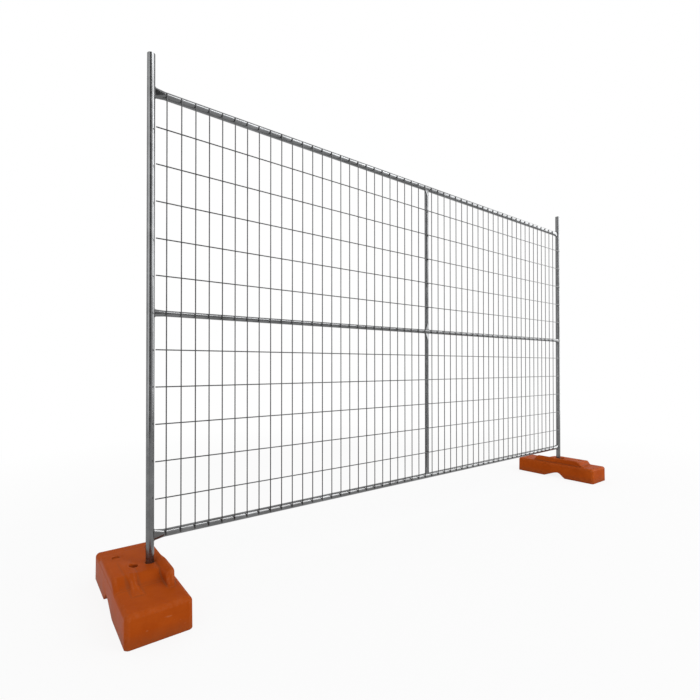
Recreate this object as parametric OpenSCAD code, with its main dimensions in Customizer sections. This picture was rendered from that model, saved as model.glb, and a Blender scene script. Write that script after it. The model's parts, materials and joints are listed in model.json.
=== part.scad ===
// Temporary fence panel: a galvanised tube frame with welded wire mesh, standing in two ballasted feet.
// Millimetres. X runs along the panel, Y through it, Z is up from the ground.
// The origin is on the ground, midway between the posts. The mesh is on the -Y face.

/* [Posts] */
// Height of the post tops above the ground
panel_top = 2195; // [1800:5:2600]
// Distance between the two post axes
post_spacing = 3295; // [1600:5:4000]
// Outside diameter of a post
post_od = 32; // [25:1:42]
// Wall of a post
post_wall = 2; // [1.5:0.1:4]
// How far a post stands above the axis of the top rail
post_above_rail = 152; // [40:1:300]

/* [Rails and stay] */
// Height of the bottom rail's axis above the ground
bottom_rail_height = 243; // [200:1:320]
// Outside diameter of the top and bottom rails
rail_od = 32; // [25:1:42]
// Wall of the top and bottom rails
rail_wall = 2; // [1.5:0.1:3]
// Outside diameter of the mid rail
mid_rail_od = 25; // [20:1:32]
// Outside diameter of the centre stay
stay_od = 25; // [20:1:32]
// Wall of the mid rail and the stay
light_wall = 1.6; // [1.2:0.1:2]
// Width of a top or bottom rail where its end is pressed flat, as a share of its diameter
rail_flat_share = 1.4; // [1.2:0.01:1.42]
// Width of the mid rail's flattened end, as a share of its diameter
mid_flat_share = 1.2; // [1.1:0.01:1.42]
// Width of the stay's flattened end, as a share of its diameter
stay_flat_share = 1.42; // [1.2:0.01:1.44]
// Length over which a tube goes from round to flat
flare_len = 36; // [25:1:60]

/* [Mesh] */
// Diameter of a mesh wire
wire_d = 5; // [3:0.1:6]
// Distance between upright wires
wire_pitch = 60; // [40:1:100]
// Distance from the left post's axis to the first upright wire
first_wire_gap = 58; // [45:1:120]
// Least distance from the last upright wire to the right post's axis
last_wire_gap = 60; // [45:1:120]
// How far an upright wire runs past the axis of the rail it is welded to
wire_overrun = 4; // [0:0.5:10]
// How far a level wire runs past the inner side of a post, in front of it
level_reach = 2; // [0:0.5:12]

/* [Foot block] */
// Length of a foot, across the panel
foot_len = 620; // [580:2:700]
// Width of a foot, along the panel
foot_w = 226; // [224:1:280]
// Height of a foot's low ends
foot_low = 112; // [106:1:120]
// How far the middle of a foot lies from the line of its sockets
foot_shift = -8; // [-20:1:10]
// Radius of a foot's corners and top edges
foot_edge_r = 17; // [12:1:22]
// How far the sides lean in from the ground to the top
foot_draft = 1; // [0:0.5:6]
// Height of the arch under a foot
arch_h = 40; // [20:1:45]
// Width of the arch on the ground
arch_base = 166; // [120:1:200]
// Width of the arch's flat ceiling
arch_ceiling = 20; // [12:1:60]
// How far the middle of the arch lies from the line of the sockets
arch_shift = -2; // [-10:1:20]
// How far the arch's ceiling lies from its middle on the ground
arch_lean = 25; // [0:1:30]

/* [Foot table] */
// Height of the raised table round the sockets
table_h = 139; // [130:1:144]
// Distance from a foot's side to the edge of the table
table_inset = 2; // [1.5:0.5:20]
// Distance from the sockets to the table's edge on its long sloping side
table_front = 66; // [55:1:80]
// Length of the slope there
table_front_slope = 67; // [40:1:90]
// Distance from the sockets to the table's edge on its steep side
table_back = 167; // [140:1:180]
// Length of the slope there
table_back_slope = 27; // [15:1:40]
// Rounding of the table's long edge
table_edge = 17; // [4:1:20]
// Width of the ramp that runs down the table's long slope
ramp_w = 24; // [15:1:40]
// Distance of that ramp's axis from the middle of the foot
ramp_x = 44; // [35:1:60]
// How much further than the table's slope the ramp reaches
ramp_reach = 57; // [30:1:80]
// Diameter of the round recess behind the sockets
recess_d = 30; // [20:1:36]
// Depth of that recess
recess_depth = 5; // [3:1:12]
// Distance of that recess from the middle of the foot
recess_x = 62; // [55:1:78]
// Distance of that recess from the line of the sockets
recess_y = 121; // [80:1:130]

/* [Foot rib] */
// Height of the rib beside the table
rib_top = 157; // [148:1:166]
// Distance from the middle of a foot to the rib's inner face
rib_inner = 59; // [57:1:61]
// Width of the slope from that face up to the rib's crest
rib_climb = 22; // [8:1:24]
// Distance from a foot's side to the rib's outer face there
rib_inset = 18; // [14:1:26]
// Width of the rib's sloping outer shoulder
rib_shoulder = 8; // [6:1:12]
// How much the rib's outer face steps in at its narrow part
rib_narrowing = 6; // [0:1:14]
// Distance from the middle of a foot to the inner face of the narrow part
rib_narrow_inner = 68; // [62:1:71]
// Length of the bend between the two parts
rib_bend = 70; // [40:1:90]
// How far the middle of that bend lies from the line of the sockets
rib_bend_y = -15; // [-40:1:40]
// Distance from the sockets to the end of the crest on the steep side
rib_front = 140; // [120:1:150]
// Length of the slope there, at the rib's inner face
rib_front_slope = 62; // [40:1:70]
// Width of the rib's nose at the foot of that slope
rib_nose = 22; // [14:1:28]
// Distance from the sockets to the end of the crest on the gentle side
rib_back = 160; // [130:1:180]
// Length of the slope there
rib_back_slope = 68; // [40:1:80]

/* [Sockets and filling] */
// Distance between the two post sockets of a foot
socket_spacing = 62; // [56:1:75]
// How far the middle of the sockets lies from the middle of a foot
socket_shift = 11; // [6:1:12]
// Clearance all round a post in its socket
socket_clear = 1; // [0.4:0.1:3]
// Height of the floor of a socket above the ground
socket_floor = 50; // [48:1:70]
// Wall of the moulded shell
shell_wall = 5; // [3:0.5:8]
// How far the filling stays above the ground
filling_lift = 2; // [1:0.5:5]

/* [Hidden] */
$fn = 64;
// Facets of a blended end or rounded block
blend_fn = 32;
// Thickness of the thin slices that a blend runs between
slice = 0.5;
// Depth by which a cutting shape runs past what it cuts
past = 1;
// Steps in an S-shaped slope
slope_steps = 10;

// Number of level wires
row_count = 11;

post_x = post_spacing / 2;
post_r = post_od / 2;
post_len = panel_top - socket_floor;
top_rail_height = panel_top - post_above_rail;
rail_spacing = top_rail_height - bottom_rail_height;
mid_rail_height = bottom_rail_height + rail_spacing / 2;
// Distance between level wires, and from the outer ones to the rails
row_pitch = rail_spacing / (row_count + 1);

// Depths in Y: the upright wires touch the front of the rails, the level wires lie on the upright ones
mesh_back = -rail_od / 2;
upright_y = mesh_back - wire_d / 2;
level_y = upright_y - wire_d;
mid_rail_y = mesh_back + mid_rail_od / 2;
stay_y = mesh_back + stay_od / 2;

// The mesh is spaced from the left post, so it isn't quite central
wire_count = floor((post_spacing - first_wire_gap - last_wire_gap) / wire_pitch) + 1;
first_wire_x = -post_x + first_wire_gap;
last_wire_x = first_wire_x + (wire_count - 1) * wire_pitch;
// Number of upright wires on the left of the stay
left_bay_count = ceil((0 - first_wire_x) / wire_pitch);
first_row_height = bottom_rail_height + row_pitch;

socket_r = post_r + socket_clear;
// The post of each side stands in its foot's inner socket
foot_x = post_x + socket_spacing / 2 + socket_shift;
rib_outer = foot_w / 2 - rib_inset;
table_left = -foot_w / 2 + table_inset;
// Height from which the table and rib grow out of the foot's block
root_h = foot_low - foot_edge_r;
socket_boss_r = socket_r + shell_wall;

level_wire_names = [for (i = [1 : row_count]) str("level_wire_", i < 10 ? "0" : "", i)];

zinc = [0.66, 0.67, 0.68];
wire_zinc = [0.58, 0.59, 0.60];
orange = [0.64, 0.27, 0.09];
concrete = [0.55, 0.54, 0.52];

// Thickness of a tube pressed to the width w, from the length of its round outline
function flat_t(od, w) = (PI * od - 2 * w) / (PI - 2);
// S-shaped step from 0 to 1
function smooth(t) = t * t * (3 - 2 * t);
// Points of an S-shaped slope from (y0, z0) to (y1, z1)
function slope(y0, z0, y1, z1) =
    [for (i = [0 : slope_steps]) [y0 + (y1 - y0) * i / slope_steps,
                                  z0 + (z1 - z0) * smooth(i / slope_steps)]];

// A flattened outline, w wide along X
module stadium(w, t) {
    for (side = [-1, 1])
        translate([side * (w - t) / 2, 0, 0])
            cylinder(d = t, h = slice, $fn = blend_fn);
}

// One end of a tube: at full width from z = 0 to z = reach, round at flare_len beyond that
module flared_end(od, w, t, reach) {
    hull() {
        stadium(w, t);
        translate([0, 0, reach])
            stadium(w, t);
        translate([0, 0, reach + flare_len])
            cylinder(d = od, h = slice, $fn = blend_fn);
    }
}

// Rod along Z with both ends flattened, wide along X
module flat_ended_rod(od, w, t, reach, len) {
    translate([0, 0, reach + flare_len])
        cylinder(d = od, h = len - 2 * (reach + flare_len));
    flared_end(od, w, t, reach);
    translate([0, 0, len])
        mirror([0, 0, 1])
            flared_end(od, w, t, reach);
}

// Tube of the same form
module flat_ended_tube(od, wall, share, reach, len) {
    w = od * share;
    t = flat_t(od, w);
    difference() {
        flat_ended_rod(od, w, t, reach, len);
        flat_ended_rod(od - 2 * wall, w - 2 * wall, t - 2 * wall, reach, len);
    }
}

module post(side) {
    translate([side * post_x, 0, socket_floor])
        difference() {
            cylinder(r = post_r, h = post_len);
            translate([0, 0, -past])
                cylinder(r = post_r - post_wall, h = post_len + 2 * past);
        }
}

// The space that the two posts take up, which the rails are notched to
module post_space() {
    for (side = [-1, 1])
        translate([side * post_x, 0, 0])
            cylinder(r = post_r, h = socket_floor + post_len);
}

module rail(height, y, od, wall, share) {
    difference() {
        translate([-post_x, y, height])
            rotate([0, 90, 0])
                flat_ended_tube(od, wall, share, post_r, post_spacing);
        post_space();
    }
}

// The space that a rail takes up between the posts
module rail_space(height, y, od) {
    translate([-post_x, y, height])
        rotate([0, 90, 0])
            cylinder(d = od, h = post_spacing);
}

module stay(low, high) {
    difference() {
        translate([0, stay_y, low])
            flat_ended_tube(stay_od, light_wall, stay_flat_share, rail_od / 2, high - low);
        rail_space(bottom_rail_height, 0, rail_od);
        rail_space(mid_rail_height, mid_rail_y, mid_rail_od);
        rail_space(top_rail_height, 0, rail_od);
    }
}

module upright_wires(first, last) {
    for (i = [first : last])
        translate([first_wire_x + i * wire_pitch, upright_y, bottom_rail_height - wire_overrun])
            cylinder(d = wire_d, h = rail_spacing + 2 * wire_overrun);
}

// Level wire: straight over the upright wires, ending in front of the inner sides of the posts
module level_wire(i) {
    reach = post_x - post_r + level_reach;
    translate([-reach, level_y, first_row_height + (i - 1) * row_pitch])
        rotate([0, 90, 0])
            cylinder(d = wire_d, h = 2 * reach);
}

// Extrudes an outline drawn in (Y, Z) along X, from x0 to x1
module along_x(x0, x1) {
    translate([x0, 0, 0])
        rotate([90, 0, 90])
            linear_extrude(x1 - x0)
                children();
}

// Extrudes an outline drawn in (X, Z) along Y, over the whole length of a foot
module along_y() {
    rotate([90, 0, 0])
        linear_extrude(2 * foot_len, center = true)
            children();
}

// Outline in (Y, Z) of a raised part: a level top between a slope at its front and one at its back
module raised_outline(front, front_slope, back, back_slope, top) {
    polygon(concat(
        [[-front - front_slope, root_h]],
        slope(-front - front_slope, foot_low, -front, top),
        slope(back, top, back + back_slope, foot_low),
        [[back + back_slope, root_h]]));
}

// Rib beside the table: steep towards -Y, gentle towards +Y
module rib() {
    nose_x = rib_inner + rib_nose;
    intersection() {
        along_x(rib_inner, rib_outer)
            raised_outline(rib_front, rib_front_slope, rib_back, rib_back_slope, rib_top);
        along_y()
            polygon([[rib_inner, 0], [rib_inner, table_h - past],
                     [rib_inner + rib_climb, rib_top], [rib_outer - rib_shoulder, rib_top],
                     [rib_outer, rib_top - rib_shoulder], [rib_outer, 0]]);
        linear_extrude(rib_top)
            polygon([[0, -foot_len], [nose_x, -foot_len], [nose_x, -rib_front - rib_front_slope],
                     [rib_outer, -rib_front - rib_shoulder], [rib_outer, rib_bend_y - rib_bend / 2],
                     [rib_outer - rib_narrowing, rib_bend_y + rib_bend / 2],
                     [rib_outer - rib_narrowing, foot_len], [rib_narrow_inner, foot_len],
                     [rib_narrow_inner, table_back], [0, table_back]]);
    }
}

// Table round the sockets, with its long edge rounded off
module table() {
    intersection() {
        along_x(table_left, rib_inner + rib_shoulder)
            raised_outline(table_front, table_front_slope, table_back, table_back_slope, table_h);
        along_y() {
            translate([table_left, 0])
                square([rib_outer - table_left, table_h - table_edge]);
            translate([table_left + table_edge, 0])
                square([rib_outer - table_left - table_edge, table_h]);
            translate([table_left + table_edge, table_h - table_edge])
                circle(r = table_edge);
        }
    }
}

// Ramp that runs on down the table's long slope
module ramp() {
    along_x(-ramp_x - ramp_w / 2, -ramp_x + ramp_w / 2)
        raised_outline(table_front, table_front_slope + ramp_reach, 0, table_back, table_h);
}

// Round recess in the table
module recess() {
    translate([-recess_x, recess_y, table_h - recess_depth])
        cylinder(d = recess_d, h = rib_top);
}

// Rounded block with leaning sides, standing on the ground
module foot_block() {
    translate([0, foot_shift, 0])
    difference() {
        hull()
            for (x = [-1, 1], y = [-1, 1]) {
                translate([x * (foot_w / 2 - foot_edge_r), y * (foot_len / 2 - foot_edge_r), -past])
                    cylinder(r = foot_edge_r, h = slice, $fn = blend_fn);
                translate([x * (foot_w / 2 - foot_edge_r - foot_draft),
                           y * (foot_len / 2 - foot_edge_r - foot_draft),
                           foot_low - foot_edge_r])
                    sphere(r = foot_edge_r, $fn = blend_fn);
            }
        translate([-foot_w, -foot_len, -2 * past])
            cube([2 * foot_w, 2 * foot_len, 2 * past]);
    }
}

// Outline in (Y, Z) of the arch under a foot, made larger all round by the amount grow
module arch_outline(grow) {
    base = arch_base / 2 + grow;
    ceiling = arch_ceiling / 2 + grow;
    translate([arch_shift, 0])
        polygon([[-base, -past], [-base, 0], [arch_lean - ceiling, arch_h + grow],
                 [arch_lean + ceiling, arch_h + grow], [base, 0], [base, -past]]);
}

module socket_holes(r) {
    for (x = [-1, 1])
        translate([socket_shift + x * socket_spacing / 2, 0, socket_floor])
            cylinder(r = r, h = rib_top);
}

// Block with rounded upright corners between two heights
module inner_block(w, len, r, low, high) {
    translate([0, 0, low])
        linear_extrude(high - low) {
            square([w - 2 * r, len], center = true);
            square([w, len - 2 * r], center = true);
            for (x = [-1, 1], y = [-1, 1])
                translate([x * (w / 2 - r), y * (len / 2 - r)])
                    circle(r = r);
        }
}

// The space inside the shell's walls, round the socket bosses and over the arch, from the height low up
module filling_space(low) {
    side = shell_wall + foot_draft;
    core_w = 2 * (rib_inner + rib_shoulder - shell_wall);
    core_len = 2 * (table_front - shell_wall);
    difference() {
        union() {
            translate([0, foot_shift, 0])
                inner_block(foot_w - 2 * side, foot_len - 2 * side, foot_edge_r - side / 2,
                            low, foot_low - foot_edge_r / 2 - shell_wall);
            inner_block(core_w, core_len, shell_wall, low, table_h - shell_wall);
        }
        for (x = [-1, 1])
            translate([socket_shift + x * socket_spacing / 2, 0, socket_floor - shell_wall])
                cylinder(r = socket_boss_r, h = rib_top);
        along_x(-foot_w, foot_w)
            arch_outline(shell_wall);
    }
}

module foot_shell() {
    difference() {
        union() {
            foot_block();
            table();
            ramp();
            rib();
        }
        recess();
        // The filling's space is open to the ground
        filling_space(-past);
        socket_holes(socket_r);
        along_x(-foot_w, foot_w)
            arch_outline(0);
    }
}

// Places a foot at the left or right post; the right foot is the left one turned round
module foot_place(side) {
    translate([side * foot_x, 0, 0])
        rotate([0, 0, side > 0 ? 180 : 0])
            children();
}

module left_foot_shell() {
    color(orange) foot_place(-1) foot_shell();
}

module left_foot_filling() {
    color(concrete) foot_place(-1) filling_space(filling_lift);
}

module right_foot_shell() {
    color(orange) foot_place(1) foot_shell();
}

module right_foot_filling() {
    color(concrete) foot_place(1) filling_space(filling_lift);
}

module top_rail() {
    color(zinc) rail(top_rail_height, 0, rail_od, rail_wall, rail_flat_share);
}

module mid_rail() {
    color(zinc) rail(mid_rail_height, mid_rail_y, mid_rail_od, light_wall, mid_flat_share);
}

module bottom_rail() {
    color(zinc) rail(bottom_rail_height, 0, rail_od, rail_wall, rail_flat_share);
}

module upper_stay() {
    color(zinc) stay(mid_rail_height, top_rail_height);
}

module lower_stay() {
    color(zinc) stay(bottom_rail_height, mid_rail_height);
}

color(zinc) post(-1);  // left_post
color(zinc) post(1);  // right_post
top_rail();
mid_rail();
bottom_rail();
upper_stay();
lower_stay();
color(wire_zinc) upright_wires(0, left_bay_count - 1);  // left_bay_upright_wires
color(wire_zinc) upright_wires(left_bay_count, wire_count - 1);  // right_bay_upright_wires
for (i = [1 : row_count])
    color(wire_zinc) level_wire(i);
left_foot_shell();
left_foot_filling();
right_foot_shell();
right_foot_filling();
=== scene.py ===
"""Temporary fence panel: galvanised tube frame, welded wire mesh and two orange ballast feet.

The tubes and wires keep the solids' own meshes. The moulded shells of the feet are made again here with
soft blends between their forms, and welds are added where tubes and wires meet. Lengths are in metres.
"""

import json
from math import cos, pi, radians, sin

import bpy
import numpy as np
from mathutils import Matrix, Vector


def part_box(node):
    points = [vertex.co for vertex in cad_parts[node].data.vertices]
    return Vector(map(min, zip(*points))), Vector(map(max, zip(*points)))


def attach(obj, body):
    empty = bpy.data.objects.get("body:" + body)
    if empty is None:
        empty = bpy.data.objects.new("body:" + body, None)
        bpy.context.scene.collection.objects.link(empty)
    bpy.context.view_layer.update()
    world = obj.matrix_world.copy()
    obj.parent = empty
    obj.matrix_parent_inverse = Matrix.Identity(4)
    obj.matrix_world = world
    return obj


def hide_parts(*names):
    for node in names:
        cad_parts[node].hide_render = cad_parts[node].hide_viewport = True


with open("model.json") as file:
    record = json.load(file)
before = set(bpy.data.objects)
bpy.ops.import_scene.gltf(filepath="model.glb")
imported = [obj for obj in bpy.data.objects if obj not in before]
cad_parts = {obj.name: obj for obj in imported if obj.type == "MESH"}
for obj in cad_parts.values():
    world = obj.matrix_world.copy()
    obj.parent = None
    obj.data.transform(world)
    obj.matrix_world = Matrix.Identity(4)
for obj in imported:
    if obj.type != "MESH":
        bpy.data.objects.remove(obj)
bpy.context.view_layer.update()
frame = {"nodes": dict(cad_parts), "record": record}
nodes = frame["nodes"]
scene = bpy.context.scene

# Camera, as fitted to the photograph's mesh lines. Angles in degrees.
CAMERA_PLACE = Vector((-2.1009, -1.8505, 0.9270))
CAMERA_YAW = 35.994
CAMERA_PITCH = 0.421
CAMERA_ROLL = -0.010
SENSOR_WIDTH = 36.0
IMAGE_SIZE = 700
FOCAL_PIXELS = 436.16
# How far the view's axis meets the image to the left of and below its centre, in pixels
AXIS_LEFT = 21.40
AXIS_BELOW = 12.89

# A foot, in its own frame: origin on the ground, long side along Y
FOOT_LENGTH = 0.620
FOOT_WIDTH = 0.226
FOOT_LOW = 0.112
FOOT_SHIFT = -0.008
FOOT_EDGE = 0.017
FOOT_DRAFT = 0.001
TABLE_TOP = 0.139
TABLE_LEFT = -0.111
TABLE_RIGHT = 0.067
TABLE_EDGE = 0.017
# Each raised form: end of its level top and length of its slope, at the front and at the back
TABLE_RUN = (0.066, 0.067, 0.167, 0.027)
RAMP_RUN = (0.066, 0.124, 0.000, 0.167)
RIB_RUN = (0.140, 0.062, 0.160, 0.068)
RAMP_MIDDLE = -0.044
RAMP_HALF = 0.012
RIB_TOP = 0.157
RIB_INNER = 0.059
# Width of the slope from the rib's inner face up to its crest
RIB_CLIMB = 0.022
RIB_OUTER = 0.095
RIB_NARROWING = 0.006
RIB_NARROW_INNER = 0.068
RIB_BEND = (-0.050, 0.020)
RIB_NOSE = 0.081
RIB_SHOULDER = 0.010
RECESS_PLACE = (-0.062, 0.121)
RECESS_RADIUS = 0.015
RECESS_FLOOR = 0.134
# Middle of the two sockets, and how far each lies from it
SOCKET_SHIFT = 0.011
SOCKET_X = 0.031
SOCKET_RADIUS = 0.017
SOCKET_FLOOR = 0.050
ARCH_HEIGHT = 0.040
ARCH_FRONT = ((-0.085, 0.0), (0.013, 0.040))
ARCH_BACK = ((0.033, 0.040), (0.081, 0.0))
SHELL_WALL = 0.005
# Room left round the filling, so that shell and filling don't share faces
FILLING_ROOM = 0.0003
# Widths over which the foot's edges and inner corners are rounded
RAMP_EDGE = 0.009
ARCH_CROWN = 0.012
TABLE_FILLET = 0.004
RAMP_FILLET = 0.014
RIB_FILLET = 0.005
RECESS_RIM = 0.003
SOCKET_RIM = 0.004
ARCH_RIM = 0.005
GROUND_EDGE = 0.002
# Spacing of the points at which the foot's form is sampled, and how often they are moved onto its surface
FOOT_GRID = 0.0026
SETTLE_ROUNDS = 3
# Distances over which the surface's slope and bend are measured, and the bend, per metre, of a sharp edge
SLOPE_REACH = 0.0004
BEND_REACH = 0.004
SHARP_BEND = 120
# Angles between faces, in degrees, from which an edge is drawn sharp
FOOT_SHARP = 50
TUBE_SHARP = 30

# Weld beads: radius, height as a share of it, length and depth of a ripple, and how much ripples differ
BEAD_RADIUS = 0.0028
BEAD_HEIGHT = 0.85
BEAD_RIPPLE = 0.0042
RIPPLE_DEPTH = 0.14
RIPPLE_SPREAD = 0.05
BEAD_STEPS = 160
BEAD_SIDES = 12
OUTLINE_POINTS = 1200
# Weld spots on the wires: half sizes, and how much the spots and their skins differ
RAIL_SPOT = (0.0042, 0.0021, 0.0050)
CROSSING_SPOT = (0.0032, 0.0012, 0.0032)
SPOT_SPREAD = 0.15
SPOT_LUMPS = 0.06
SPOT_RINGS = 5
SPOT_SIDES = 10
WIRE_PITCH = 0.060
FRAME_WELD_SEED = 4
MESH_WELD_SEED = 7


def make_camera():
    """Camera at the photograph's place, with its level, turn and framing."""
    yaw, pitch, roll = radians(CAMERA_YAW), radians(CAMERA_PITCH), radians(CAMERA_ROLL)
    forward = Vector((sin(yaw) * cos(pitch), cos(yaw) * cos(pitch), sin(pitch)))
    level_right = Vector((cos(yaw), -sin(yaw), 0))
    level_up = level_right.cross(forward)
    right = cos(roll) * level_right + sin(roll) * level_up
    up = cos(roll) * level_up - sin(roll) * level_right
    data = bpy.data.cameras.new("camera")
    data.sensor_width = SENSOR_WIDTH
    data.lens = FOCAL_PIXELS / IMAGE_SIZE * SENSOR_WIDTH
    data.shift_x = AXIS_LEFT / IMAGE_SIZE
    data.shift_y = AXIS_BELOW / IMAGE_SIZE
    data.clip_end = 100
    camera = bpy.data.objects.new("camera", data)
    scene.collection.objects.link(camera)
    turn = Matrix((right, up, -forward)).transposed()
    camera.matrix_world = Matrix.Translation(CAMERA_PLACE) @ turn.to_4x4()
    scene.camera = camera


# Signed distances, negative inside a form, for the moulded feet


def smooth_step(t):
    t = np.clip(t, 0, 1)
    return t * t * (3 - 2 * t)


def soft_max(a, b, width):
    """Larger of two distances, rounded over where they differ by less than the width."""
    overlap = np.maximum(width - np.abs(a - b), 0)
    return np.maximum(a, b) + overlap * overlap / (4 * width)


def soft_min(a, b, width):
    return -soft_max(-a, -b, width)


def rounded_block(x, y, z, half_width, half_length, top, edge):
    """Block of any depth with rounded upright and top edges."""
    over = np.stack(np.broadcast_arrays(np.abs(x) - half_width, np.abs(y) - half_length, z - top)) + edge
    outside = np.sqrt((np.maximum(over, 0) ** 2).sum(0))
    return outside + np.minimum(over.max(0), 0) - edge


def raised_height(y, run, top):
    """Height along Y of a form with a level top and S-shaped slopes down to the block."""
    front, front_slope, back, back_slope = run
    rise = np.minimum((y + front + front_slope) / front_slope, (back + back_slope - y) / back_slope)
    return FOOT_LOW + (top - FOOT_LOW) * smooth_step(rise)


def raised_form(x, y, z, run, top, left, right, edge):
    front, front_slope, back, back_slope = run
    above = z - raised_height(y, run, top)
    beside = np.maximum(left - x, x - right)
    beyond = np.maximum(-y - front - front_slope, y - back - back_slope)
    return np.maximum(soft_max(above, beside, edge), beyond)


def rib_sides(y):
    """Inner and outer face of the rib along Y."""
    front, front_slope, back, _ = RIB_RUN
    bend = smooth_step((y - RIB_BEND[0]) / (RIB_BEND[1] - RIB_BEND[0]))
    nose = np.clip((-y - front - RIB_SHOULDER) / (front_slope - RIB_SHOULDER), 0, 1)
    outer = RIB_OUTER - RIB_NARROWING * bend - (RIB_OUTER - RIB_NOSE) * nose
    narrow = smooth_step((y - TABLE_RUN[2]) / TABLE_RUN[3])
    inner = RIB_INNER + (RIB_NARROW_INNER - RIB_INNER) * narrow
    return inner, outer


def rib_form(x, y, z):
    """The rib, with the slope that climbs from its inner face to its crest."""
    inner, outer = rib_sides(y)
    rib = raised_form(x, y, z, RIB_RUN, RIB_TOP, inner, outer, RIB_SHOULDER)
    steepness = (RIB_TOP - TABLE_TOP) / RIB_CLIMB
    climb = (z - TABLE_TOP - (x - RIB_INNER) * steepness) / np.hypot(1, steepness)
    return soft_max(rib, climb, RIB_SHOULDER)


def below_line(y, z, ends):
    """Distance from a slanting line in (Y, Z), negative on its right-hand side."""
    (y0, z0), (y1, z1) = ends
    length = np.hypot(y1 - y0, z1 - z0)
    return ((y1 - y0) * (z - z0) - (z1 - z0) * (y - y0)) / length


def arch(y, z):
    sides = np.maximum(below_line(y, z, ARCH_FRONT), below_line(y, z, ARCH_BACK))
    return soft_max(sides, z - ARCH_HEIGHT, ARCH_CROWN)


def recess(x, y, z):
    from_axis = np.hypot(x - RECESS_PLACE[0], y - RECESS_PLACE[1])
    return np.maximum(from_axis - RECESS_RADIUS, RECESS_FLOOR - z)


def sockets(x, y, z, radius, floor):
    from_axis = np.hypot(np.abs(x - SOCKET_SHIFT) - SOCKET_X, y)
    return np.maximum(from_axis - radius, floor - z)


def filling_space(x, y, z):
    """The space inside the shell's walls, open to the ground."""
    side = SHELL_WALL + FOOT_DRAFT
    body = rounded_block(x, y - FOOT_SHIFT, 0, FOOT_WIDTH / 2 - side, FOOT_LENGTH / 2 - side, 0,
                         FOOT_EDGE - side / 2)
    body = np.maximum(body, z - FOOT_LOW + FOOT_EDGE / 2 + SHELL_WALL)
    core = np.maximum(np.abs(x) - TABLE_RIGHT + SHELL_WALL, np.abs(y) - TABLE_RUN[0] + SHELL_WALL)
    core = np.maximum(core, z - TABLE_TOP + SHELL_WALL)
    bosses = sockets(x, y, z, SOCKET_RADIUS + SHELL_WALL, SOCKET_FLOOR - SHELL_WALL)
    over_arch = arch(y, z) - SHELL_WALL
    space = np.maximum(np.minimum(body, core), -np.minimum(bosses, over_arch))
    return space - FILLING_ROOM


def foot_outside(x, y, z):
    """The moulding's outer form: block, table, ramp and rib, with its recess, sockets and arch."""
    lean = FOOT_DRAFT * np.clip(z / FOOT_LOW, 0, 1)
    form = rounded_block(x, y - FOOT_SHIFT, z, FOOT_WIDTH / 2 - lean, FOOT_LENGTH / 2 - lean, FOOT_LOW,
                         FOOT_EDGE)
    table = raised_form(x, y, z, TABLE_RUN, TABLE_TOP, TABLE_LEFT, TABLE_RIGHT, TABLE_EDGE)
    ramp = raised_form(x, y, z, RAMP_RUN, TABLE_TOP, RAMP_MIDDLE - RAMP_HALF, RAMP_MIDDLE + RAMP_HALF,
                       RAMP_EDGE)
    form = soft_min(form, table, TABLE_FILLET)
    form = soft_min(form, ramp, RAMP_FILLET)
    form = soft_min(form, rib_form(x, y, z), RIB_FILLET)
    # The blends don't swell past the block's sides
    form = np.maximum(form, np.abs(x) - FOOT_WIDTH / 2 + lean)
    form = soft_max(form, -recess(x, y, z), RECESS_RIM)
    form = soft_max(form, -sockets(x, y, z, SOCKET_RADIUS, SOCKET_FLOOR), SOCKET_RIM)
    return soft_max(form, -arch(y, z), ARCH_RIM)


def foot_shell(x, y, z):
    shell = np.maximum(foot_outside(x, y, z), -filling_space(x, y, z))
    return soft_max(shell, -z, GROUND_EDGE)


# Meshes


def surface_cells(values):
    """Cells that a surface passes through, with its mean crossing in each, in grid steps."""
    inside = values < 0
    shape = np.array(values.shape) - 1
    total = np.zeros((*shape, 3))
    count = np.zeros(shape)
    for axis in range(3):
        low = np.moveaxis(values, axis, 0)[:-1]
        high = np.moveaxis(values, axis, 0)[1:]
        crosses = np.moveaxis((low < 0) != (high < 0), 0, axis)
        share = np.moveaxis(low / np.where(low == high, 1, low - high), 0, axis)
        others = [other for other in range(3) if other != axis]
        for first in (0, 1):
            for second in (0, 1):
                part = [slice(None)] * 3
                part[others[0]] = slice(first, first + shape[others[0]])
                part[others[1]] = slice(second, second + shape[others[1]])
                hit = crosses[tuple(part)]
                count += hit
                total[..., axis] += np.where(hit, share[tuple(part)], 0)
                total[..., others[0]] += hit * first
                total[..., others[1]] += hit * second
    return inside, total, count


def surface_net(values, low, step):
    """Quads over a sampled distance, one corner in each cell that the surface passes through."""
    inside, total, count = surface_cells(values)
    active = np.argwhere(count > 0)
    number = np.full(count.shape, -1)
    number[tuple(active.T)] = np.arange(len(active))
    corners = low + step * (active + total[tuple(active.T)] / count[tuple(active.T)][:, None])
    quads = []
    for axis in range(3):
        first = np.moveaxis(inside, axis, 0)[:-1]
        second = np.moveaxis(inside, axis, 0)[1:]
        edges = np.argwhere(np.moveaxis(first != second, 0, axis))
        a, b = (axis + 1) % 3, (axis + 2) % 3
        edges = edges[(edges[:, a] > 0) & (edges[:, b] > 0)]
        ring = np.repeat(edges[:, None, :], 4, axis=1)
        ring[:, [1, 2], a] -= 1
        ring[:, [2, 3], b] -= 1
        quad = number[tuple(np.moveaxis(ring, 2, 0))]
        outward = inside[tuple(edges.T)]
        quads.append(np.where(outward[:, None], quad, quad[:, ::-1]))
    return corners, np.concatenate(quads)


def slope_of(field, points, reach):
    """Gradient of a distance at some points."""
    slope = np.empty_like(points)
    for axis in range(3):
        shift = np.zeros(3)
        shift[axis] = reach
        slope[:, axis] = (field(*(points + shift).T) - field(*(points - shift).T)) / (2 * reach)
    return slope


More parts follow.
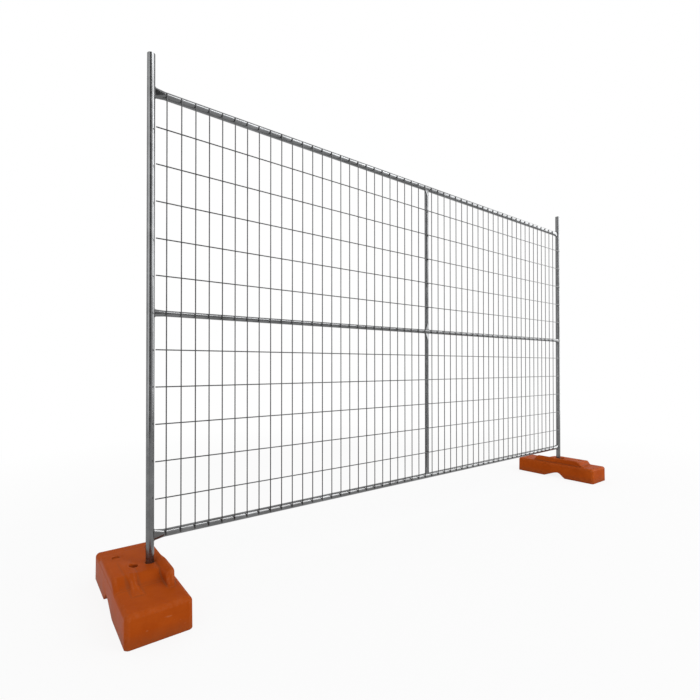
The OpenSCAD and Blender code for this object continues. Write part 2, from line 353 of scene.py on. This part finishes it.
def settle(field, points):
    """Moves points onto a distance's zero level."""
    for _ in range(SETTLE_ROUNDS):
        slope = slope_of(field, points, SLOPE_REACH)
        size = np.maximum((slope ** 2).sum(1), 0.25)
        move = np.clip(field(*points.T) / size, -FOOT_GRID / 3, FOOT_GRID / 3)
        points = points - slope * move[:, None]
    return points


def bend_of(field, points, reach):
    """How sharply the surface bends at some points: positive on outer edges, negative in corners."""
    total = -6 * field(*points.T)
    for axis in range(3):
        shift = np.zeros(3)
        shift[axis] = reach
        total += field(*(points + shift).T) + field(*(points - shift).T)
    return total / reach ** 2


def new_object(name, corners, faces, body, slot, material):
    mesh = bpy.data.meshes.new(name)
    mesh.from_pydata(corners.tolist(), [], np.asarray(faces, dtype=object).tolist())
    mesh.materials.append(material)
    mesh.shade_smooth()
    piece = bpy.data.objects.new(name, mesh)
    scene.collection.objects.link(piece)
    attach(piece, body)
    return piece


def add_attribute(mesh, name, values):
    mesh.attributes.new(name, "FLOAT", "POINT").data.foreach_set("value", values.astype(np.float32))


def make_feet(material):
    """Both moulded shells. The right one is the left one turned round."""
    low = np.array((-FOOT_WIDTH / 2, FOOT_SHIFT - FOOT_LENGTH / 2, 0)) - 2 * FOOT_GRID
    high = np.array((FOOT_WIDTH / 2, FOOT_SHIFT + FOOT_LENGTH / 2, RIB_TOP)) + 3 * FOOT_GRID
    axes = [np.arange(low[i], high[i], FOOT_GRID) for i in range(3)]
    values = foot_shell(*np.meshgrid(*axes, indexing="ij"))
    corners, quads = surface_net(values, low, FOOT_GRID)
    corners = settle(foot_shell, corners)
    corners[:, 2] = np.maximum(corners[:, 2], 0)
    bend = bend_of(foot_outside, corners, BEND_REACH)
    for side, turn in (("left", 1), ("right", -1)):
        lowest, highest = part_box(f"{side}_foot_shell")
        centre = np.array(((lowest.x + highest.x) / 2, 0, 0))
        placed = corners * (turn, turn, 1) + centre
        foot = new_object(f"{side}_foot_moulding", placed, quads, f"{side}_foot", "orange_plastic", material)
        foot.data.set_sharp_from_angle(angle=radians(FOOT_SHARP))
        add_attribute(foot.data, "edge", np.clip(bend / SHARP_BEND, 0, 1))
        add_attribute(foot.data, "corner", np.clip(-bend / SHARP_BEND, 0, 1))
        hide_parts(f"{side}_foot_shell")


# Welds


class Tube:
    """Size and place of a tube with flattened ends, read from its solid."""

    def __init__(self, node, wide_axis):
        lowest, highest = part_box(node)
        size = highest - lowest
        self.centre = (highest + lowest) / 2
        self.radius = size.y / 2
        self.width = size[wide_axis]
        # The flattened end has the round tube's length of outline
        self.thickness = (2 * pi * self.radius - 2 * self.width) / (pi - 2)

    def surface(self, y):
        """How far the tube's outside lies from its axis, in the direction across Y."""
        return np.sqrt(self.radius ** 2 - (y - self.centre.y) ** 2)


def flat_outline(width, thickness):
    """Even points round a flattened tube's end, and the directions out of it."""
    angle = np.linspace(0, 2 * pi, OUTLINE_POINTS, endpoint=False)
    out = np.stack((np.cos(angle), np.sin(angle)), 1)
    points = out * thickness / 2
    points[:, 0] += np.sign(out[:, 0]) * (width - thickness) / 2
    steps = np.linalg.norm(np.roll(points, -1, 0) - points, axis=1)
    along = np.concatenate(((0,), np.cumsum(steps)))
    wanted = np.linspace(0, along[-1], BEAD_STEPS, endpoint=False)
    even = [np.interp(wanted, along, np.append(values, values[0])) for values in (*points.T, *out.T)]
    return np.stack(even[:2], 1), np.stack(even[2:], 1)


def bead(path, out, chance):
    """Rippled weld bead along a closed path, half sunk in the corner that it fills."""
    ahead = np.roll(path, -1, 0) - np.roll(path, 1, 0)
    ahead /= np.linalg.norm(ahead, axis=1)[:, None]
    out = out / np.linalg.norm(out, axis=1)[:, None]
    across = np.cross(ahead, out)
    along = np.cumsum(np.linalg.norm(path - np.roll(path, 1, 0), axis=1))
    ripple = 1 + RIPPLE_DEPTH * np.sin(2 * pi * along / BEAD_RIPPLE)
    ripple += chance.normal(0, RIPPLE_SPREAD, len(path))
    size = (BEAD_RADIUS * ripple)[:, None, None]
    angle = np.linspace(0, 2 * pi, BEAD_SIDES, endpoint=False)[None, :, None]
    ring = np.cos(angle) * out[:, None] * BEAD_HEIGHT + np.sin(angle) * across[:, None]
    corners = path[:, None] + size * ring
    row, side = np.meshgrid(np.arange(len(path)), np.arange(BEAD_SIDES), indexing="ij")
    next_row, next_side = (row + 1) % len(path), (side + 1) % BEAD_SIDES
    faces = np.stack((row * BEAD_SIDES + side, next_row * BEAD_SIDES + side,
                      next_row * BEAD_SIDES + next_side, row * BEAD_SIDES + next_side), -1)
    return corners.reshape(-1, 3), faces.reshape(-1, 4)


def rail_bead(rail, post, side, chance):
    """Bead round a rail's flattened end, on the post's round side."""
    outline, out = flat_outline(rail.width, rail.thickness)
    y = rail.centre.y + outline[:, 1]
    x = side * (abs(post.centre.x) - np.sqrt(post.radius ** 2 - y ** 2))
    path = np.stack((x, y, rail.centre.z + outline[:, 0]), 1)
    away = np.stack((np.full(len(x), -side), out[:, 1], out[:, 0]), 1)
    return bead(path, away, chance)


def stay_bead(stay, rail, side, chance):
    """Bead round a stay's flattened end, on the top or bottom of a rail."""
    outline, out = flat_outline(stay.width, stay.thickness)
    y = stay.centre.y + outline[:, 1]
    path = np.stack((outline[:, 0], y, rail.centre.z + side * rail.surface(y)), 1)
    away = np.stack((out[:, 0], out[:, 1], np.full(len(y), side)), 1)
    return bead(path, away, chance)


def unit_ball(rings, sides):
    """Corners of a ball with its poles along Y, and its faces as quads and as the triangles at the poles."""
    tilt, turn = np.meshgrid(np.linspace(0, pi, rings + 2)[1:-1],
                             np.linspace(0, 2 * pi, sides, endpoint=False), indexing="ij")
    ball = np.stack((np.sin(tilt) * np.cos(turn), np.cos(tilt), np.sin(tilt) * np.sin(turn)), -1)
    ball = np.concatenate((ball.reshape(-1, 3), ((0, 1, 0), (0, -1, 0))))
    ring, side = np.meshgrid(np.arange(rings - 1), np.arange(sides), indexing="ij")
    following = (side + 1) % sides
    quads = np.stack((ring * sides + side, ring * sides + following,
                      (ring + 1) * sides + following, (ring + 1) * sides + side), -1).reshape(-1, 4)
    first, last = np.arange(sides), (rings - 1) * sides + np.arange(sides)
    top, bottom = np.full(sides, rings * sides), np.full(sides, rings * sides + 1)
    caps = np.concatenate((np.stack((first, top, np.roll(first, -1)), 1),
                           np.stack((last, np.roll(last, -1), bottom), 1)))
    return ball, quads, caps


def spots(places, half, chance):
    """A lump of weld metal at each place, no two quite alike."""
    ball, quads, caps = unit_ball(SPOT_RINGS, SPOT_SIDES)
    places = np.array(places)
    size = np.array(half) * chance.uniform(1 - SPOT_SPREAD, 1 + SPOT_SPREAD, (len(places), 1, 3))
    lump = 1 + chance.normal(0, SPOT_LUMPS, (len(places), len(ball), 1))
    corners = places[:, None] + ball * size * lump
    start = np.arange(len(places))[:, None, None] * len(ball)
    faces = (quads + start).reshape(-1, 4).tolist() + (caps + start).reshape(-1, 3).tolist()
    return corners.reshape(-1, 3), faces


def joined(meshes):
    """Several meshes as one."""
    corners, faces, count = [], [], 0
    for points, sides in meshes:
        corners.append(points)
        faces.extend([index + count for index in face] for face in np.asarray(sides, dtype=object).tolist())
        count += len(points)
    return np.concatenate(corners), faces


def make_frame_welds(material):
    """Beads where the rails meet the posts and the stays meet the rails."""
    chance = np.random.default_rng(FRAME_WELD_SEED)
    rails = {name: Tube(f"{name}_rail", 2) for name in ("top", "mid", "bottom")}
    posts = {side: Tube(f"{name}_post", 0) for side, name in ((-1, "left"), (1, "right"))}
    beads = [rail_bead(rail, post, side, chance) for rail in rails.values() for side, post in posts.items()]
    for name, low, high in (("lower", "bottom", "mid"), ("upper", "mid", "top")):
        stay = Tube(f"{name}_stay", 0)
        beads.append(stay_bead(stay, rails[low], 1, chance))
        beads.append(stay_bead(stay, rails[high], -1, chance))
    new_object("frame_welds", *joined(beads), "panel", "galvanised_tube", material)


def make_mesh_welds(material):
    """Spots where the wires cross and where the upright ones meet the rails."""
    chance = np.random.default_rng(MESH_WELD_SEED)
    lowest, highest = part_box("left_bay_upright_wires")
    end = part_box("right_bay_upright_wires")[1].x
    wire = (highest.y - lowest.y) / 2
    columns = np.arange(lowest.x + wire, end, WIRE_PITCH)
    wires = [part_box(name) for name in nodes if name.startswith("level_wire")]
    levels = [(low.z + high.z) / 2 for low, high in wires]
    rails = [Tube(f"{name}_rail", 2).centre.z for name in ("top", "bottom")]
    on_rails = [(x, highest.y, z) for z in rails for x in columns]
    crossings = [(x, lowest.y, z) for z in levels for x in columns]
    lumps = [spots(on_rails, RAIL_SPOT, chance), spots(crossings, CROSSING_SPOT, chance)]
    new_object("mesh_welds", *joined(lumps), "panel", "galvanised_wire", material)


# Materials. Colours are linear red, green and blue, and opacity.

WHITE = (1, 1, 1, 1)
GROUND_SPLASH = (0.085, 0.07, 0.055, 1)
HEAT_STAIN = (0.075, 0.05, 0.035, 1)
ORANGE_DEEP = (0.37, 0.058, 0.005, 1)
ORANGE_FADED = (0.45, 0.08, 0.0085, 1)
ORANGE_SPECK = (0.44, 0.1, 0.025, 1)
ORANGE_SCUFFED = (0.5, 0.17, 0.075, 1)
ORANGE_SCRATCHED = (0.5, 0.19, 0.09, 1)
# Dark orange of the dust near the ground, also used as painted shade in the creases of the feet
ORANGE_DUST_AND_CREASE_SHADE = (0.14, 0.075, 0.04, 1)
CONCRETE_DARK = (0.19, 0.18, 0.165, 1)
CONCRETE_LIGHT = (0.34, 0.33, 0.31, 1)
CONCRETE_STONE = (0.12, 0.115, 0.11, 1)
# Darkest and lightest level of the zinc's grey
TUBE_ZINC = (0.12, 0.2)
WIRE_ZINC = (0.04, 0.075)
WELD_GREY = (0.07, 0.2)
# How fast the zinc's runs change across and along a tube, and on the wires
RUNS_ACROSS = 160
RUNS_ALONG = 2.2
WIRE_RUNS = 60


class Look:
    """A node material in the making."""

    def __init__(self, name, metallic=0.0, specular=0.5):
        self.material = bpy.data.materials.new(name)
        self.material.use_nodes = True
        self.tree = self.material.node_tree
        self.shader = self.tree.nodes["Principled BSDF"]
        self.shader.inputs["Metallic"].default_value = metallic
        self.shader.inputs["Specular IOR Level"].default_value = specular
        self.place = self.node("TexCoord").outputs["Object"]

    def node(self, kind, inputs=None, **settings):
        made = self.tree.nodes.new("ShaderNode" + kind)
        for name, value in settings.items():
            setattr(made, name, value)
        for name, value in (inputs or {}).items():
            self.feed(made.inputs[name], value)
        return made

    def feed(self, socket, value):
        if isinstance(value, bpy.types.NodeSocket):
            self.tree.links.new(value, socket)
        else:
            socket.default_value = value

    def stretched(self, scale):
        return self.node("Mapping", {"Vector": self.place, "Scale": scale}).outputs["Vector"]

    def noise(self, scale, detail=3.0, place=None, rough=0.5):
        inputs = {"Vector": place or self.place, "Scale": scale, "Detail": detail, "Roughness": rough}
        return self.node("TexNoise", inputs).outputs["Fac"]

    def cells(self, scale, place=None):
        """A different grey in each cell of a crystal pattern."""
        made = self.node("TexVoronoi", {"Vector": place or self.place, "Scale": scale})
        return self.node("SeparateColor", {"Color": made.outputs["Color"]}).outputs["Red"]

    def span(self, value, low, high, to_low=0.0, to_high=1.0):
        inputs = {"Value": value, "From Min": low, "From Max": high, "To Min": to_low, "To Max": to_high}
        return self.node("MapRange", inputs).outputs["Result"]

    def maths(self, operation, first, second):
        made = self.node("Math", {0: first, 1: second}, operation=operation)
        return made.outputs[0]

    def mix(self, share, first, second):
        made = self.node("Mix", {0: share, 6: first, 7: second}, data_type="RGBA")
        return made.outputs[2]

    def attribute(self, name):
        return self.node("Attribute", attribute_name=name).outputs["Fac"]

    def height(self):
        return self.node("SeparateXYZ", {"Vector": self.place}).outputs["Z"]

    def bump(self, height, distance, strength=1.0, over=None):
        inputs = {"Height": height, "Distance": distance, "Strength": strength}
        if over:
            inputs["Normal"] = over
        return self.node("Bump", inputs).outputs["Normal"]

    def finish(self, colour, roughness, normal):
        self.feed(self.shader.inputs["Base Color"], colour)
        self.feed(self.shader.inputs["Roughness"], roughness)
        self.feed(self.shader.inputs["Normal"], normal)
        return self.material


def grey(level, tint=0.0):
    """Grey of one level, colder by the tint."""
    return (level * (1 - tint), level, level * (1 + tint), 1)


def zinc_look(name, levels, run_scale):
    """Hot-dip zinc: crystals, runs along the tube, dull patches and a little ground dirt."""
    dark, light = levels
    look = Look(name, metallic=0.9)
    crystals = look.cells(scale=95)
    runs = look.noise(scale=1, detail=4, place=look.stretched(run_scale), rough=0.6)
    clouds = look.noise(scale=7, detail=5, rough=0.6)
    dull = look.span(look.noise(scale=19, detail=4, rough=0.65), 0.52, 0.72)
    colour = look.mix(look.span(clouds, 0.3, 0.7), grey(dark, 0.02), grey(light, 0.03))
    colour = look.mix(0.16, colour, look.mix(crystals, grey(dark), grey(light * 1.15)))
    colour = look.mix(look.span(runs, 0.45, 0.8, 0, 0.5), colour, grey(dark * 0.7))
    colour = look.mix(look.maths("MULTIPLY", dull, 0.35), colour, grey(light * 1.25))
    near_ground = look.span(look.height(), 0.1, 0.5, 0.25, 0)
    splash = look.maths("MULTIPLY", near_ground, look.noise(scale=30, detail=4))
    colour = look.mix(splash, colour, GROUND_SPLASH)
    rough = look.span(look.maths("ADD", crystals, dull), 0, 2, 0.14, 0.28)
    skin = look.bump(look.noise(scale=140, detail=3), distance=0.0002, strength=0.02)
    normal = look.bump(runs, distance=0.0003, strength=0.02, over=skin)
    return look.finish(colour, rough, normal)


def weld_look():
    """Weld metal under zinc paint: darker, rougher, with a rippled skin and a trace of heat stain."""
    dark, light = WELD_GREY
    look = Look("weld", metallic=0.75)
    clouds = look.noise(scale=120, detail=4, rough=0.6)
    colour = look.mix(look.span(clouds, 0.3, 0.7), grey(dark), grey(light, 0.02))
    stain = look.span(look.noise(scale=45, detail=3), 0.55, 0.75, 0, 0.5)
    colour = look.mix(stain, colour, HEAT_STAIN)
    rough = look.span(clouds, 0.3, 0.7, 0.42, 0.62)
    normal = look.bump(look.noise(scale=700, detail=2), distance=0.0006, strength=0.6)
    return look.finish(colour, rough, normal)


def orange_look():
    """Moulded plastic: sun-bleached clouds, grain, scuffed edges, scratches, ground dirt and painted shade
    in the creases.
    """
    look = Look("orange plastic", specular=0.008)
    clouds = look.noise(scale=9, detail=5, rough=0.6)
    colour = look.mix(look.span(clouds, 0.3, 0.7), ORANGE_DEEP, ORANGE_FADED)
    specks = look.span(look.noise(scale=260, detail=3), 0.62, 0.75, 0, 0.35)
    colour = look.mix(specks, colour, ORANGE_SPECK)
    ragged = look.span(look.noise(scale=70, detail=5, rough=0.7), 0.4, 0.68)
    scuff = look.maths("MULTIPLY", look.span(look.attribute("edge"), 0.25, 0.8), ragged)
    colour = look.mix(look.maths("MULTIPLY", scuff, 0.4), colour, ORANGE_SCUFFED)
    scratch_lines = look.noise(scale=1, detail=2, place=look.stretched((40, 420, 160)))
    scratches = look.span(scratch_lines, 0.71, 0.75, 0, 0.35)
    colour = look.mix(scratches, colour, ORANGE_SCRATCHED)
    near_ground = look.span(look.height(), 0.0, 0.05, 0.6, 0)
    dust = look.maths("MULTIPLY", near_ground, look.noise(scale=38, detail=5, rough=0.65))
    # Painted shade: the moulding's creases and inner corners are darkened, mixed in with the ground dust
    crease_shade = look.maths("MULTIPLY", look.attribute("corner"), 0.35)
    colour = look.mix(look.maths("MAXIMUM", dust, crease_shade), colour, ORANGE_DUST_AND_CREASE_SHADE)
    rough = look.span(look.maths("ADD", clouds, scuff), 0.3, 1.4, 0.3, 0.62)
    waves = look.bump(look.noise(scale=16, detail=2), distance=0.0016, strength=0.4)
    grain = look.bump(look.noise(scale=900, detail=2), distance=0.00025, strength=0.35, over=waves)
    normal = look.bump(scratches, distance=0.0004, strength=0.5, over=grain)
    return look.finish(colour, rough, normal)


def concrete_look():
    """Cast concrete: grey clouds, darker stones and small pits."""
    look = Look("concrete", specular=0.3)
    clouds = look.noise(scale=24, detail=6, rough=0.65)
    stones = look.span(look.cells(scale=140), 0.75, 0.95, 0, 0.5)
    colour = look.mix(look.span(clouds, 0.3, 0.7), CONCRETE_DARK, CONCRETE_LIGHT)
    colour = look.mix(stones, colour, CONCRETE_STONE)
    rough = look.span(clouds, 0.3, 0.7, 0.8, 0.95)
    pits = look.span(look.noise(scale=210, detail=3), 0.6, 0.72, 1, 0)
    normal = look.bump(pits, distance=0.0012, strength=0.7)
    return look.finish(colour, rough, normal)


def dress_cad():
    """Gives each solid its material."""
    upright = zinc_look("zinc upright", TUBE_ZINC, (RUNS_ACROSS, RUNS_ACROSS, RUNS_ALONG))
    level = zinc_look("zinc level", TUBE_ZINC, (RUNS_ALONG, RUNS_ACROSS, RUNS_ACROSS))
    wire = zinc_look("zinc wire", WIRE_ZINC, (WIRE_RUNS, WIRE_RUNS, WIRE_RUNS))
    looks = {"galvanised_wire": wire, "concrete": concrete_look()}
    for part in frame["record"]["subparts"]:
        name = part["node"]
        mesh = nodes[name].data
        tube = level if name.endswith("rail") else upright
        mesh.materials.clear()
        mesh.materials.append(looks.get(part["material_slot"], tube))
        mesh.shade_smooth()
        mesh.set_sharp_from_angle(angle=radians(TUBE_SHARP))


# Stage

FLOOR_COLOUR = (0.86, 0.86, 0.86, 1)
FLOOR_HALF = 40.0
# The floor lies a little under the feet, so that it shares no face with them
FLOOR_DROP = 0.001
# Share of white in the floor near the object, and the distances between which it grows to 1
NEAR_WHITE = 0.88
WHITE_FROM = 2.2
WHITE_AT = 4.2
SURROUND_COLOUR = (0.78, 0.78, 0.78, 1)
CARD_COLOUR = (0.12, 0.12, 0.12, 1)
CARD_HALF_WIDTH = 1.5
CARD_HALF_HEIGHT = 3.2
CARD_PLACE = (-3.2, -3.9, 2.6)
CARD_AIM = (-0.5, 0, 2.6)


def white_to_view(tree, shader, white, white_share=None):
    """Mixes a share of plain white into what the camera, mirrors and glass see of the stage."""
    path = tree.nodes.new("ShaderNodeLightPath")
    seen = path.outputs["Is Camera Ray"]
    for kind in ("Is Glossy Ray", "Is Transmission Ray"):
        either = tree.nodes.new("ShaderNodeMath")
        either.operation = "MAXIMUM"
        tree.links.new(seen, either.inputs[0])
        tree.links.new(path.outputs[kind], either.inputs[1])
        seen = either.outputs[0]
    if white_share is not None:
        part = tree.nodes.new("ShaderNodeMath")
        part.operation = "MULTIPLY"
        tree.links.new(seen, part.inputs[0])
        tree.links.new(white_share, part.inputs[1])
        seen = part.outputs[0]
    mix = tree.nodes.new("ShaderNodeMixShader")
    tree.links.new(seen, mix.inputs[0])
    tree.links.new(shader, mix.inputs[1])
    tree.links.new(white, mix.inputs[2])
    return mix.outputs[0]


def make_sheet(name, half_width, half_height, material):
    """Flat rectangle."""
    w, h = half_width, half_height
    mesh = bpy.data.meshes.new(name)
    mesh.from_pydata([(-w, -h, 0), (w, -h, 0), (w, h, 0), (-w, h, 0)], [], [(0, 1, 2, 3)])
    mesh.materials.append(material)
    sheet = bpy.data.objects.new(name, mesh)
    scene.collection.objects.link(sheet)
    return sheet


def facing(place, aim, axis):
    """Turn of an object at a place whose axis points at the aim."""
    return (Vector(aim) - Vector(place)).to_track_quat(axis, "Y").to_euler()


def make_floor():
    """Pale floor that keeps the shadow near the object and turns to white further out."""
    look = Look("floor", specular=0.0)
    look.shader.inputs["Base Color"].default_value = FLOOR_COLOUR
    look.shader.inputs["Roughness"].default_value = 0.9
    away = look.node("VectorMath", {0: look.place}, operation="LENGTH").outputs["Value"]
    share = look.span(away, WHITE_FROM, WHITE_AT, NEAR_WHITE, 1.0)
    white = look.node("Emission", {"Color": WHITE, "Strength": 1.0})
    seen = white_to_view(look.tree, look.shader.outputs[0], white.outputs[0], share)
    look.tree.links.new(seen, look.tree.nodes["Material Output"].inputs["Surface"])
    floor = make_sheet("floor", FLOOR_HALF, FLOOR_HALF, look.material)
    floor.location.z = -FLOOR_DROP


def make_world():
    """Even surround that lights the object and is white to the eye."""
    world = bpy.data.worlds.new("studio")
    world.use_nodes = True
    tree = world.node_tree
    light = tree.nodes["Background"]
    light.inputs["Color"].default_value = SURROUND_COLOUR
    white = tree.nodes.new("ShaderNodeBackground")
    white.inputs["Color"].default_value = WHITE
    seen = white_to_view(tree, light.outputs[0], white.outputs[0])
    tree.links.new(seen, tree.nodes["World Output"].inputs["Surface"])
    scene.world = world


def make_lamp(name, place, aim, width, height, radiance, lights_matt=False):
    """Soft box. One that doesn't light matt surfaces is seen only in the shine of the metal."""
    lamp = bpy.data.lights.new(name, "AREA")
    lamp.shape = "RECTANGLE"
    lamp.size = width
    lamp.size_y = height
    lamp.energy = radiance * pi * width * height
    holder = bpy.data.objects.new(name, lamp)
    holder.location = place
    holder.rotation_euler = facing(place, aim, "-Z")
    holder.visible_camera = False
    holder.visible_diffuse = lights_matt
    scene.collection.objects.link(holder)


def make_lamps():
    make_lamp("key", place=(3.0, -5.0, 4.0), aim=(0, 0, 1), width=3.0, height=3.0, radiance=4.0,
              lights_matt=True)
    make_lamp("left_strip", place=(-5.6, -1.4, 2.2), aim=(0, 0, 1), width=4.0, height=5.0, radiance=1.4)
    make_lamp("right_strip", place=(5.5, -2.4, 2.6), aim=(0, 0, 1.6), width=4.2, height=5.2, radiance=3.8)
    make_lamp("overhead_strip", place=(1.2, -3.2, 5.0), aim=(1.2, 0, 1), width=5.4, height=1.3, radiance=7.0)
    make_lamp("far_overhead_strip", place=(7.2, -3.2, 5.0), aim=(7.2, 0, 1), width=6.6, height=1.3,
              radiance=1.3)


def make_flag():
    """Dark card behind the camera, seen only in the shine of the metal, as photographers use for tubes."""
    look = Look("flag", specular=0.0)
    look.shader.inputs["Base Color"].default_value = CARD_COLOUR
    flag = make_sheet("flag", CARD_HALF_WIDTH, CARD_HALF_HEIGHT, look.material)
    flag.location = CARD_PLACE
    flag.rotation_euler = facing(CARD_PLACE, CARD_AIM, "Z")
    flag.visible_camera = False
    flag.visible_diffuse = False
    flag.visible_shadow = False


make_camera()
make_feet(orange_look())
dress_cad()
weld = weld_look()
make_frame_welds(weld)
make_mesh_welds(weld)
make_floor()
make_world()
make_lamps()
make_flag()
scene.view_settings.view_transform = "Standard"
